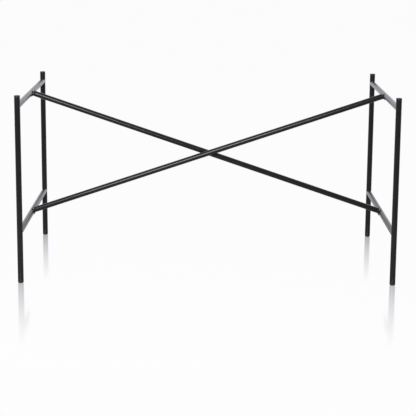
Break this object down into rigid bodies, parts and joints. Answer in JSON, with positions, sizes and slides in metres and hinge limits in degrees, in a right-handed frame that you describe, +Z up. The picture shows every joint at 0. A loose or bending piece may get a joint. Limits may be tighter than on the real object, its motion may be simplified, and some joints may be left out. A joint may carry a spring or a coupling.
{
  "type": "table underframe",
  "caption": "Demountable table underframe of round black steel tube: welded side frames joined by crossing diagonal tubes, with flat leg caps and floor glides.",
  "frame": {"origin": "on the floor, below the middle of the frame", "axes": "+X along the table, +Y to the rear, +Z up from the floor to the table top"},
  "size_m": [1.44, 0.78, 0.72],
  "materials": {
    "powder_coat": "satin powder coat",
    "black_plastic": "fine moulded grain",
    "black_screw_steel": "black oxide",
    "plated_insert_steel": "zinc plated"
  },
  "bodies": {
    "root": {"left_front_leg": "powder_coat", "left_front_leg_cap": "black_plastic", "left_front_foot": "black_plastic", "left_rear_leg": "powder_coat", "left_rear_leg_cap": "black_plastic", "left_rear_foot": "black_plastic", "left_upper_rail": "powder_coat", "left_lower_rail": "powder_coat", "right_front_leg": "powder_coat", "right_front_leg_cap": "black_plastic", "right_front_foot": "black_plastic", "right_rear_leg": "powder_coat", "right_rear_leg_cap": "black_plastic", "right_rear_foot": "black_plastic", "right_upper_rail": "powder_coat", "right_lower_rail": "powder_coat", "front_diagonal": "powder_coat", "front_diagonal_lower_saddle": "powder_coat", "front_diagonal_upper_saddle": "powder_coat", "rear_diagonal": "powder_coat", "rear_diagonal_lower_saddle": "powder_coat", "rear_diagonal_upper_saddle": "powder_coat", "saddle_screws": "black_screw_steel", "threaded_inserts": "plated_insert_steel"}
  },
  "joints": []
}
